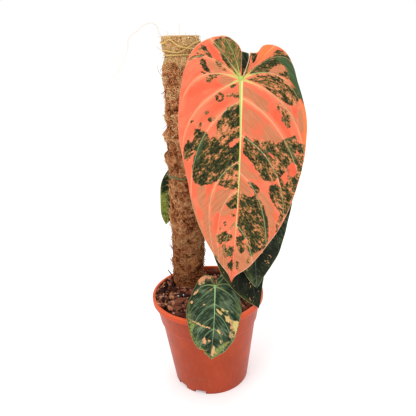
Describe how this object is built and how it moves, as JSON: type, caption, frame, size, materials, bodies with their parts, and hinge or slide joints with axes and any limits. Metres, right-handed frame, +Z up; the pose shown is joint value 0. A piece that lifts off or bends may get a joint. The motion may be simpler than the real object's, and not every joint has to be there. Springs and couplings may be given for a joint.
{
  "type": "potted variegated philodendron melanochrysum",
  "caption": "Climbing aroid with long heart-shaped leaves, marbled coral and dark green, tied to a coir pole in a round terracotta-coloured plastic pot.",
  "frame": {"origin": "under the middle of the whole plant's box, on the surface that the pot stands on", "axes": "+Z up; the plant's face looks along -Y; +X is to the right of someone who looks at that face"},
  "size_m": [0.1588, 0.1436, 0.3665],
  "materials": {
    "pot_plastic": "satin, slightly scuffed",
    "potting_mix": "rough, crumbly",
    "bark": "rough",
    "bare_wood": "rough sawn",
    "coir": "matted fibre",
    "twine": "twisted fibre",
    "coated_wire": "satin",
    "stem_skin": "satin, living plant",
    "coral_leaf": "soft satin, living leaf",
    "green_leaf": "velvety, living leaf"
  },
  "bodies": {
    "root": {"pot": "pot_plastic", "soil": "potting_mix", "bark_chip_back": "bark", "bark_chip_flat": "bark", "bark_chip_red": "bark", "bark_chip_split": "bark", "bark_chip_rim": "bark", "bark_chip_side": "bark", "bark_chip_front": "bark", "dark_twig": "bark", "wood_strip": "bare_wood", "pole_core": "bare_wood", "coir_sleeve": "coir", "twine_tie": "twine", "wire_tie": "coated_wire", "stem": "stem_skin", "petiole_main": "stem_skin", "petiole_second": "stem_skin", "petiole_low": "stem_skin", "petiole_front": "stem_skin", "petiole_rear": "stem_skin", "blade_main": "coral_leaf", "blade_second": "green_leaf", "blade_low": "green_leaf", "blade_front": "green_leaf", "blade_rear": "green_leaf"}
  },
  "joints": []
}
